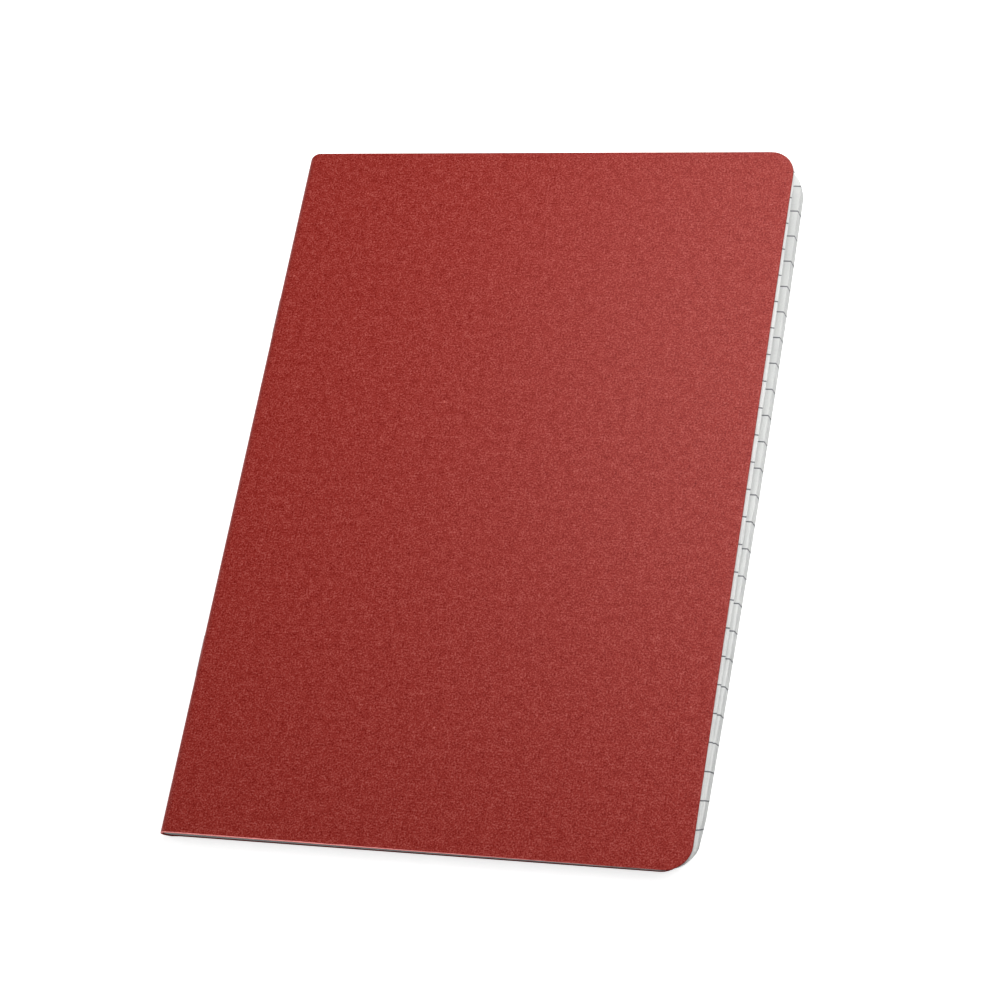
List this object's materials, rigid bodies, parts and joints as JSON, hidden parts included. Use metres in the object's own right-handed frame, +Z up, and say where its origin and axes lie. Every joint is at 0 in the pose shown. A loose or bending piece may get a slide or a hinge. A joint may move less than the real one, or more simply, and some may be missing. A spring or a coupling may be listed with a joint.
{
  "type": "notepad",
  "caption": "Card-covered stapled notepad with rounded fore-edge corners and ruled paper leaves, lying on its back cover with the front cover slightly sprung open.",
  "frame": {"origin": "centre of the bounding box on the table plane", "axes": "+X from the spine to the fore edge, +Y from the foot to the head, +Z up out of the front cover"},
  "size_m": [0.1424, 0.21, 0.0131],
  "materials": {
    "cover_card": "matt dyed card with a fine fibre grain and pale cut edges",
    "paper": "uncoated white writing paper with thin grey ruled lines",
    "staple_wire": "bright drawn wire"
  },
  "bodies": {
    "back": {"back_cover": "cover_card"},
    "pages": {"page_block": "paper", "spine_fold": "cover_card", "staple_head": "staple_wire", "staple_foot": "staple_wire"},
    "front": {"front_cover": "cover_card"}
  },
  "joints": [
    {"name": "back_hinge", "type": "hinge", "parent": "back", "child": "pages", "pos_m": [-0.07097, 0, 0.0024], "axis": [0, -1, 0], "range_deg": [0, 175]},
    {"name": "front_hinge", "type": "hinge", "parent": "pages", "child": "front", "pos_m": [-0.06857, 0, 0.0048], "axis": [0, -1, 0], "range_deg": [0, 175]}
  ]
}
